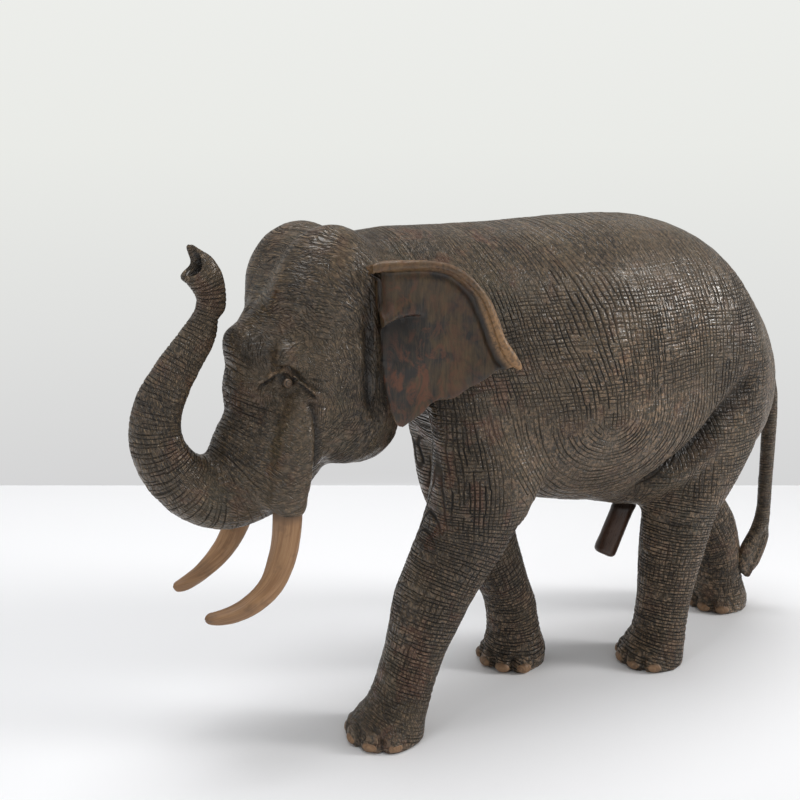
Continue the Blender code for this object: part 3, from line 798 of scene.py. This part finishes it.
def line_fields(skin):
    """Which way the gouge cuts run: phases of four families of lines, and how deep each is."""
    p = skin.p
    x, y, z = p.T
    drift = noise(p, 40, 11) * 1.8 + noise(p, 15, 12) * 0.45
    wobble = noise(p, 7, 13) * 0.16

    # a: rings, level over the torso and square to the legs and the trunk.
    slide, leg, upright, leg_phase = leg_lines(p)
    length, gap, _ = along(x, z, smooth_path(TRUNK_LINE), True)
    up = ease(205, 240, z)
    on_trunk = ease(0, 1, (x - 207 - 28 * up) / (17 - 11 * up))
    rings = (z + drift + slide) * (1 - on_trunk)
    rings = rings + on_trunk * (232 + TRUNK_START - length + 0.4 * drift)
    line_a = rings / RING_PITCH + wobble

    # b: lines that hang down the flank, lean towards the neck and turn round the eye.
    cx, cz = ARC_MIDDLE
    lean = 0.10 + 0.42 * ease(10, 80, x) - 0.42 * ease(118, 150, x) - 0.30 * ease(-20, -90, x)
    lift = 62 * np.tanh(0.5 * (z - cz + np.sqrt((z - cz) ** 2 + 900)) / 62)
    across = x - cx - lean * lift - 0.0035 * np.maximum(z - 240, 0) ** 2
    ex, ez = EYE_MIDDLE
    round_eye = 295 - np.hypot(x - ex, (z - ez) * 0.85)
    on_head = ease(150, 176, x) * ease(112, 134, z)
    line_b = ((across + 100) * (1 - on_head) + round_eye * on_head + 0.9 * drift) / LINE_PITCH
    line_b = line_b + 0.8 * wobble

    # c: lines along the legs and the trunk's sides. d: arcs above the belly.
    turn = np.arctan2(y, -gap)
    trunk_phase = turn / (2 * math.pi) * TRUNK_LINE_COUNT
    line_c = np.where(on_trunk > 0.5, trunk_phase, leg_phase) + wobble + 0.25 * drift
    hang = np.hypot(across, z - cz)
    line_d = (hang + 0.9 * drift) / LINE_PITCH + 0.8 * wobble

    # How deep each family is cut in each region.
    torso = 1 - on_head
    steep = 1 - ease(0.62, 0.9, np.abs(skin.n[:, 2]))
    high = ease(248, 278, z)
    arcs = ease(5, 12, hang) * ease(88, 66, hang) * (1 - leg)
    arcs = arcs * ease(-12, 16, cz - z + 0.10 * np.abs(across) + 7 * noise(p, 22, 14))
    flank = band(-95, 150, 25, x) * torso
    thigh = ease(-28, -52, x + 0.9 * (z - 160)) * ease(235, 205, z) * torso
    head = on_head * (1 - on_trunk)
    temple = head * bell(x - 214, 16) * bell(z - 246, 17)
    cheek = head * ease(222, 205, z) * ease(216, 208, x)
    sheath = ease(212, 218, x) * ease(224, 212, z) * ease(16, 24, np.abs(y))
    foot = 1 - ease(8, 20, z)
    deep_a = 0.85 * flank * (1 - high) * (1 - 0.8 * arcs) * (1 - 0.2 * thigh) * steep
    deep_a = deep_a + leg * (1 - 0.75 * foot) * (0.52 + 0.34 * noise(p, 19, 15))
    deep_a = deepest((deep_a + 0.45 * thigh * steep) * torso, on_trunk * (1 - 0.6 * sheath),
                     head * (0.10 + 0.35 * ease(224, 238, x)) * steep)
    deep_a = deep_a * (1 - ease(270, 280, z) * ease(244, 250, x))
    deep_b = flank * (0.95 - 0.85 * arcs) * (1 - 0.62 * high) * (1 - 0.35 * thigh)
    deep_b = deep_b * (1 - leg * ease(0, 40, 150 - z)) + 0.22 * torso
    deep_b = deep_b * (1 - 0.7 * foot) * (1 - 0.85 * leg * ease(10, 50, 140 - z))
    deep_b = deepest(deep_b * torso, head * 0.34 * (1 - 0.7 * temple)) * (1 - 0.9 * on_trunk)
    sides = on_trunk * ease(0.15, 0.5, math.pi - np.abs(turn))
    deep_c = deepest(0.68 * upright * (1 - foot), 0.34 * sides)
    fine = head * (0.85 + 0.3 * cheek - 0.25 * temple) + 0.30 * torso * (1 - leg)
    fine = fine + 0.25 * ease(86, 104, x) * torso * ease(150, 180, z)
    fine = (fine + 0.2 * thigh + 0.35 * sheath) * (1 - 0.3 * on_trunk)
    fine = deepest(np.clip(deepest(fine, 0.75 * leg), 0, 1), 0.6 * on_trunk)

    # Along each family, so that its lines are cut in strokes; then the same for the fine cuts.
    eye_turn = np.arctan2(z - ez, ex - x)
    along_a = np.where(leg > 0.5, leg_phase, line_b + 0.3 * line_c)
    along_a = np.where(on_trunk > 0.5, trunk_phase, along_a)
    along_b = np.where(on_head > 0.5, eye_turn * 14, line_a)
    along_d = np.arctan2(z - cz, x - cx) * 16
    fields = {"a": strokes(p, 130, line_a, along_a, deep_a, 3.6),
              "b": strokes(p, 131, line_b, along_b, deep_b, 4.4),
              "c": strokes(p, 132, line_c, line_a, deep_c, 2.6),
              "d": strokes(p, 133, line_d, along_d, arcs * torso, 6.0)}
    fine_v = line_a * RING_PITCH * (1 - on_head) + on_head * eye_turn * 34
    regions = {"leg": leg, "trunk": on_trunk, "head": head, "thigh": thigh, "arcs": arcs,
               "torso": torso, "high": high}
    return fields, regions, {"fine": fine, "fine_u": line_b * LINE_PITCH, "fine_v": fine_v}


def cut_profile(line):
    """Depth of a V cut across its line, from 0 between lines to 1 on them."""
    return ease(0.42, 0.98, 1 - 2 * np.abs(line - np.round(line)))


def build_body(material):
    small = [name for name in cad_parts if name.startswith(("eye_", "nail_"))]
    sources = [whole("body"), plug("tail", lambda q: q[:, 0] > -160, 1.06),
               plug("belly_peg", lambda q: q[:, 2] > 112, 1.06)]
    for side in ("left", "right"):
        sources.append(plug("tusk_" + side, lambda q: q[:, 2] > 151, 1.04))
        sources.append(plug("ear_" + side, lambda q: np.abs(q[:, 1]) < 44.5, 1.06))
    sources += [whole(name, 0.93) for name in small]
    skin = Skin("carved_body", sources, BODY_CELL)
    x, y, z = skin.p.T
    keen = np.minimum(ease(10, 24, z), 1 - ease(262, 270, z) * ease(236, 246, x))
    skin.rub(3.2, 0.25 + 0.75 * keen)

    hollow = deepest(sculpt_torso(skin), sculpt_face(skin), sculpt_feet(skin))
    skin.rub(0.9)
    skin.note(hollow=hollow)
    skin.refine([(224, 36, 219), (224, -36, 219), (262, 0, 284)], 17)
    hollow = deepest(skin.recall("hollow"), sculpt_trunk_tip(skin))
    eye_dark, lid = sculpt_eyes(skin)

    fields, area, fine = line_fields(skin)
    x, y, z = skin.p.T
    cuts = deepest(*(cut_profile(line) * deep for line, deep in fields.values()))
    amount = 0.40 + 0.06 * area["leg"] + 0.10 * area["trunk"] - 0.12 * area["head"]
    grit = 0.16 * noise(skin.p, 3.2, 41) + 0.10 * noise(skin.p, 1.7, 42)
    level = 0.5 * noise(skin.p, 26, 43) + 0.28 * noise(skin.p, 11, 44)
    skin.push(-amount * cuts + grit * (1 - 0.5 * area["high"]) + level)
    skin.p[:, 2] = np.maximum(skin.p[:, 2], 0.0)
    near_eye = 1 - ease(8, 14, np.hypot((x - 221) / 1.5, z - 219))
    for family, (line, deep) in fields.items():
        skin.note(**{"line_" + family: line, "deep_" + family: deep * (1 - 0.9 * near_eye)})

    for name in small:
        low, high = limits(name)
        near = ((skin.p - (low + high) / 2) / ((high - low) / 2 * 0.98)) ** 2
        skin.push(-1.1 * ease(1.0, 0.35, np.sqrt(near.sum(1))))
    x, y, z = skin.p.T
    spots = 0.5 + 0.5 * noise(skin.p, 24, 51)
    # The ridges' tan is wear, with painted highlight on the thigh, the flank and shoulder patch, the
    # upper rear flank and the upper lid; the knots are pale wood.
    ridge_wear_and_light = 0.22 + 0.30 * area["arcs"] + 0.25 * area["leg"] * spots + 0.30 * area["thigh"]
    # A reddish patch over the flank and shoulder, which also carries painted highlight.
    red_and_lit_patch = bell(x - 32, 26) * bell(z - 214, 20) * ease(20, 40, np.abs(y))
    red_and_lit_patch = red_and_lit_patch + 0.8 * bell(x + 2, 22) * bell(z - 190, 16)
    # rear: painted highlight on the upper rear flank.
    rear = bell(x + 22, 34) * bell(z - 235, 22) * ease(20, 40, np.abs(y))
    knots = bell(x + 29, 2.2) * bell(z - 34, 2.0)
    knots = (knots + 0.8 * bell(x + 24.5, 1.5) * bell(z - 36.4, 1.5)) * (y > 0)
    worn = np.clip(ridge_wear_and_light + 0.55 * red_and_lit_patch + 0.5 * rear + 0.6 * lid + 1.6 * knots, 0, 1)
    red = np.clip(0.35 + 0.6 * spots * area["leg"] + red_and_lit_patch + 0.7 * ease(80, 110, x)
                  * area["torso"] + 0.25 * area["trunk"], 0, 1)
    skin.note(worn=worn, red=red, hollow=np.minimum(deepest(hollow, eye_dark), 1), **fine)
    return skin.finish(material, "carved_body", "body")


# ---------------------------------------------------------------- ears

# The ear's rolled rim, from inside the head to the leaf-shaped tip: x, y, z, radius.
EAR_RIM = [(181, 43.0, 279.0, 0.9), (177, 47.2, 279.9, 2.2), (172.5, 50.2, 280.5, 2.8),
           (167, 52.8, 280.7, 2.7), (157.1, 56.2, 280.9, 2.4), (148.5, 58.8, 280.3, 2.1),
           (140.8, 61.2, 278.4, 2.0), (133.6, 63.4, 274, 2.0), (127.3, 65.4, 267.8, 1.9),
           (123.1, 66.8, 261.4, 1.8), (119.8, 68, 253.1, 1.8), (116.5, 69, 244.5, 1.9),
           (113.1, 70, 236.9, 2.5), (109.3, 71, 230.8, 3.0), (105.8, 71.6, 226.5, 2.3),
           (103.4, 71.8, 223.8, 0.9)]
EAR_FOLD = [(180.5, 226), (180, 234), (178.6, 240.5), (176.6, 244.3), (173, 248.2), (168.4, 251.2),
            (163, 253), (156.5, 253.6), (151, 253)]
FRONT_EDGE_BACK = 5.0                # how far the leaf's front edge is dressed back from its blank
EAR_HEM = [(100, 228), (106, 226), (119, 219.5), (137, 211), (156, 200), (165, 194), (172, 198),
           (180, 240)]


def build_ear(side, material):
    """The thin leaf, let into the head in front, with its rolled rim and the fold inside it."""
    name = "ear_" + SIDE_NAMES[side]
    rim_rows = [(x, side * y, z, radius) for x, y, z, radius in EAR_RIM]
    skin = Skin(name + "_leaf", [whole(name), tube(rim_rows)], EAR_CELL)
    x, y, z = skin.p.T
    rim_line = smooth_path([(row[0], row[2]) for row in EAR_RIM], 4)
    rim_gap = np.abs(along(x, z, rim_line)[1])
    skin.rub(1.5, ease(2.5, 6, rim_gap) + 0.12)
    skin.p[:, 0] -= FRONT_EDGE_BACK * ease(158, 181, skin.p[:, 0]) * ease(3, 7, rim_gap)
    x, y, z = skin.p.T
    length, rim_gap, run = along(x, z, rim_line)
    progress, rim_gap = length / run, np.abs(rim_gap)
    on_rim = 1 - ease(2.6, 3.8, rim_gap)
    out = ease(-0.2, 0.5, skin.n[:, 1] * side)
    leaf = ease(44, 47, np.abs(y))
    fold_length, fold_gap, fold_run = along(x, z, smooth_path(EAR_FOLD, 3))
    reach = ease(0, 0.12, fold_length / fold_run) * ease(1, 0.75, fold_length / fold_run)
    under = bell(fold_gap, np.where(fold_gap > 0, 11, 1.0))
    over = np.where(fold_gap < 0, bell(fold_gap + 3.5, 4.5), 0)
    plate = 1 - on_rim
    gutter = bell(rim_gap - 4.6, 2.2) * plate
    into_head = ease(168, 177, x) * ease(250, 262, z) * plate
    move = leaf * (2.2 * reach * over - 4.2 * reach * under * out - 1.6 * gutter * out)
    move = move - 8.5 * into_head * leaf - 3.0 * ease(168, 176, x) * ease(240, 225, z) * leaf
    hem = bell(z - np.interp(x, *np.array(EAR_HEM).T), 5) * plate
    move = move + leaf * plate * (1.6 * noise(skin.p, 26, 61) + 0.8 * np.sin((x - z) / 12) * hem)
    skin.p[:, 1] += side * move
    waves = 1.5 * np.sin((x - 108) / 5.2) + 0.9 * np.sin((x - 90) / 2.9)
    skin.p[:, 2] += waves * hem * band(104, 150, 8, x)
    tip = ease(124, 104, x) * ease(250, 236, z) * plate
    skin.p[:, 0] += 3.0 * tip
    skin.p[:, 2] -= 2.0 * tip
    skin.face_up()
    skin.push(0.16 * noise(skin.p, (2.2, 2.2, 14), 62) + 0.12 * noise(skin.p, 3.5, 63))
    thin = ease(0.9, 0.25, np.abs(skin.n[:, 1]))
    edge = on_rim * (0.30 + 0.6 * ease(0.45, 0.8, progress)) + 0.55 * hem * thin
    edge = deepest(edge, ease(0.88, 0.97, progress) * on_rim)
    # Painted shade: in the gutter inside the rim, under the fold, where the leaf runs into the head,
    # and on the side facing the head.
    hollow = deepest(0.8 * gutter * out * ease(0.2, 0.7, progress), reach * under * out * leaf,
                     0.75 * into_head * out, 0.8 * ease(0.1, -0.5, skin.n[:, 1] * side) * plate)
    red = 0.3 + 0.8 * bell(x - 160, 20) * bell(z - 222, 30)
    red = red + 0.5 * bell(x - 168, 8) * bell(z - 268, 14)
    skin.note(edge=np.minimum(edge, 1), hollow=np.minimum(hollow, 1), red=np.minimum(red, 1),
              lobe=bell(x - 172, 12) * bell(z - 204, 16))
    return skin.finish(material, "ear", name)


# ---------------------------------------------------------------- tusks, tail, peg, eyes, nails

TUSK_LINE = [(220, 170), (222, 149), (224, 134), (228, 122), (234, 112), (243, 105), (253, 100),
             (270, 97.5)]
TUFT_MIDDLE = [(-173, 62), (-171, 48), (-168, 37), (-165, 26)]


def build_tusk(side, material):
    """A tusk in lightly faceted wood, its grain along its curve."""
    name = "tusk_" + SIDE_NAMES[side]
    skin = Skin(name + "_wood", [whole(name)], SMALL_CELL)
    skin.rub(1.5)
    x, y, z = skin.p.T
    length, gap, _ = along(x, z, smooth_path(TUSK_LINE))
    low, high = limits(name)
    turn = np.arctan2(y - (low[1] + high[1]) / 2, gap)
    skin.push(0.16 * np.cos(turn * 5 + 0.06 * length) + 0.10 * noise(skin.p, 5, 71))
    skin.note(girth=turn * 8, run=length, stain=0.75 * ease(143, 150, z) + 0.25 * ease(70, 80, length))
    return skin.finish(material, "tusk", name)


def build_tail(material):
    """The ringed tail, with its tuft spread towards the leg and ribbed down the middle."""
    skin = Skin("tail_carved", [whole("tail")], SMALL_CELL)
    skin.rub(1.1)
    z = skin.p[:, 2]
    skin.push(1.3 * band(-999, 190, 20, z) * (1 - 0.6 * ease(30, 18, z)))
    skin.face_up()
    x, y, z = skin.p.T
    tuft = ease(62, 54, z)
    side = x - np.interp(z, *np.array(TUFT_MIDDLE[::-1]).T[::-1])
    skin.p[:, 0] += 6.5 * ease(-2.5, 3.5, side) * ease(24, 34, z) * ease(82, 46, z)
    skin.p[:, 0] -= 2.0 * ease(1.5, -3.5, side) * band(36, 54, 10, z)
    skin.face_up()
    rib = along(x, z, smooth_path(TUFT_MIDDLE))[1]
    skin.push(tuft * (0.9 * bell(rib, 1.3) - 0.5 * bell(np.abs(rib) - 2.4, 1.2)))
    skin.face_up()
    rings = skin.p[:, 2] / 1.9 + 0.5 * noise(skin.p, 5, 81)
    hairs = rib / 1.25 + 0.05 * z + 0.5 * noise(skin.p, 9, 82)
    line = np.where(tuft > 0.5, hairs, rings)
    deep = (0.45 + 0.35 * noise(skin.p, 4, 83)) * (1 - 0.2 * tuft)
    skin.push(-0.32 * cut_profile(line) * deep + 0.16 * noise(skin.p, 3, 84))
    x, y, z = skin.p.T
    skin.note(line_a=line, deep_a=deep, line_b=np.arctan2(y + 3, x + 170) * 3, deep_b=0.2,
              line_c=0.5, deep_c=0, line_d=0.5, deep_d=0, fine=0.8, fine_u=rib, fine_v=z,
              worn=0.25 + 0.5 * tuft, red=0.3 + 0.5 * tuft, hollow=0)
    return skin.finish(material, "tail", "tail")


def build_peg(material):
    """The dark peg in the belly, faceted, with a collar under the wood."""
    skin = Skin("belly_peg_turned", [whole("belly_peg")], SMALL_CELL)
    skin.rub(1.6)
    x, y, z = skin.p.T
    turn = np.arctan2(y, x + 36 - (106 - z) * 0.5)
    facets = 0.25 * np.cos(turn * 4) * ease(78, 84, z) + 0.15 * noise(skin.p, 5, 91)
    skin.push(0.9 * ease(106, 100, z) + facets + 0.9 * bell(z - 104, 2.2))
    # Darker towards the top, where the peg runs up under the belly: painted shade.
    skin.note(girth=turn * 7, run=(z - 73) / 0.9, stain=0.3 + 0.6 * ease(96, 106, z))
    return skin.finish(material, "peg", "belly_peg")


def build_eye(side, material):
    """A bead with a ring and a pupil cut in its face."""
    name = "eye_" + SIDE_NAMES[side]
    skin = Skin(name + "_bead", [whole(name)], 0.3)
    skin.rub(0.6)
    low, high = limits(name)
    middle = (low + high) / 2
    x, _, z = (skin.p - middle).T
    ring = np.hypot(x, z)
    front = ease(0.2, 0.6, skin.n[:, 1] * side)
    skin.push((-0.3 * bell(ring - 1.9, 0.35) - 0.5 * bell(ring, 0.8)) * front)
    skin.p = middle + (skin.p - middle) * BEAD_SCALE + np.array(BEAD_MOVE) * (1, side, 1)
    # Painted shade in the ring cut, the pupil's dip and round the bead's edge under the lid.
    dark = bell(ring - 1.9, 0.45) + bell(ring, 0.8) + ease(2.6, 3.2, ring)
    skin.note(girth=np.arctan2(z, x) * 3, run=ring * 12, stain=np.minimum(0.2 + 0.8 * dark, 1))
    return skin.finish(material, "eye", name)


def build_nail(name, material):
    """A toenail slip, smoothed by wear, darker towards its top."""
    skin = Skin(name + "_slip", [whole(name)], 0.35)
    skin.rub(0.5)
    low, high = limits(name)
    x, y, z = (skin.p - (low + high) / 2).T
    skin.push(0.55 + 0.12 * noise(skin.p, (1.2, 1.2, 6), 95) + 0.08 * noise(skin.p, 2.0, 96))
    skin.p[:, 2] = np.maximum(skin.p[:, 2], 0.05)
    height = z / (high - low)[2] * 2
    skin.note(girth=(x + y) * 2.0, run=z * 4, stain=0.05 + 0.5 * ease(0.5, 1.0, height))
    return skin.finish(material, "nail", name)


# ---------------------------------------------------------------- camera, floor and light

MIDDLE = (0, 0, 0.15)                # what the lamps are aimed at


def add_camera():
    """A hand-held view from ahead and to the left, 340 mm above the table."""
    data = bpy.data.cameras.new("camera")
    data.sensor_width = 36.0
    data.lens = 49.5
    data.clip_start = 0.01
    data.clip_end = 50.0
    camera = show("camera", data)
    camera.location = (0.3804, 0.5449, 0.340)
    camera.rotation_euler = (math.radians(77), 0, math.radians(151))
    bpy.context.scene.camera = camera


def add_light(name, kind, place, target, energy, **settings):
    """A light that faces target. The settings are its own values, by name."""
    data = bpy.data.lights.new(name, kind)
    data.energy = energy
    for key, value in settings.items():
        setattr(data, key, value)
    light = show(name, data)
    light.location = place
    light.rotation_euler = (light.location - Vector(target)).to_track_quat("Z", "Y").to_euler()


FLOOR_REACH = 1.083                  # how far ahead of the camera the floor meets the backdrop


def add_stage():
    """A white table top in front of a pale backdrop, with soft light from above."""
    paint = Paint("floor_paper")
    paint.set("Base Color", (0.90, 0.905, 0.925))
    paint.set("Roughness", 0.7)
    paint.set("Specular IOR Level", 0.2)
    camera = bpy.context.scene.camera
    data = bpy.data.meshes.new("floor")
    outline = [(-4, -4), (4, -4), (4, FLOOR_REACH), (-4, FLOOR_REACH)]
    turn = Matrix.Rotation(camera.rotation_euler.z, 2)
    corners = [turn @ Vector(point) + camera.location.xy for point in outline]
    data.from_pydata([(x, y, -0.0002) for x, y in corners], [], [(0, 1, 2, 3)])
    data.materials.append(paint.material)
    show("floor", data)
    add_backdrop()
    add_light("overhead", "AREA", (0.25, -0.10, 2.2), MIDDLE, 24, shape="DISK", size=1.3)
    add_light("sun_patch", "SPOT", (-1.45, 0.85, 0.80), (-0.21, 0.03, 0.19), 62,
              spot_size=math.radians(22), spot_blend=0.7, shadow_soft_size=0.22)
    add_light("window", "AREA", (-1.15, 0.75, 1.1), MIDDLE, 4, shape="DISK", size=0.4,
              color=(1.0, 0.97, 0.93))
    add_light("front", "AREA", (1.3, 0.55, 0.9), MIDDLE, 1.4, shape="DISK", size=0.3,
              color=(0.97, 0.985, 1.0))
    bpy.context.scene.view_settings.view_transform = "Standard"


# Backdrop colours by the sine of the height above the horizon, mapped to 0 to 1; painted shade darkens
# the wall towards the table top, with a dark band at the corner.
BACKDROP = [(0.0, (0.89, 0.895, 0.915)), (0.346, (0.88, 0.885, 0.90)), (0.352, (0.66, 0.66, 0.665)),
            (0.42, (0.74, 0.745, 0.735)), (0.5, (0.82, 0.83, 0.80)), (1.0, (0.86, 0.87, 0.85))]


def add_backdrop():
    """An even pale room that lights the figure, and is seen as a wall above the table top."""
    world = bpy.data.worlds.new("studio")
    sky = Nodes(world)
    height = sky.add("SeparateXYZ", {0: sky.add("TexCoord", out="Generated")}, out="Z")
    height = sky.add("MapRange", {"Value": height, "From Min": -1.0})
    wall = sky.add("ValToRGB", {"Fac": height}, out="Color")
    stops = wall.node.color_ramp.elements
    for n, (where, colour) in enumerate(BACKDROP):
        stop = stops[n] if n < 1 else stops.new(where)
        stop.position = where
        stop.color = (*colour, 1)
    stops.remove(stops[-1])
    seen = sky.tree.nodes["Background"]
    sky.plug(seen.inputs["Color"], wall)
    room = sky.add("Background", {"Color": (0.96, 0.96, 0.95), "Strength": 0.50})
    camera_ray = sky.add("LightPath", out="Is Camera Ray")
    mixed = sky.add("MixShader", {0: camera_ray, 1: room, 2: seen.outputs[0]})
    sky.plug(sky.tree.nodes["World Output"].inputs["Surface"], mixed)
    bpy.context.scene.world = world


# ---------------------------------------------------------------- the whole figure

add_camera()
add_stage()
carved = carved_wood()
build_body(carved)
build_tail(carved)
leaf_wood = ear_wood()
tusk_wood = pale_wood("tusk_wood", (0.36, 0.205, 0.098), (0.235, 0.118, 0.05), (0.075, 0.042, 0.024))
nail_wood = pale_wood("nail_wood", (0.33, 0.195, 0.10), (0.17, 0.095, 0.05), (0.045, 0.028, 0.018), 0.5)
peg_wood = pale_wood("peg_wood", (0.105, 0.050, 0.029), (0.058, 0.030, 0.020),
                     (0.020, 0.013, 0.010), 0.3)
eye_wood = pale_wood("eye_wood", (0.20, 0.12, 0.06), (0.12, 0.07, 0.035), (0.02, 0.013, 0.009), 0.3)
for flank_side in (LEFT, RIGHT):
    build_ear(flank_side, leaf_wood)
    build_tusk(flank_side, tusk_wood)
    build_eye(flank_side, eye_wood)
build_peg(peg_wood)
for node_name in sorted(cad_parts):
    if node_name.startswith("nail_"):
        build_nail(node_name, nail_wood)
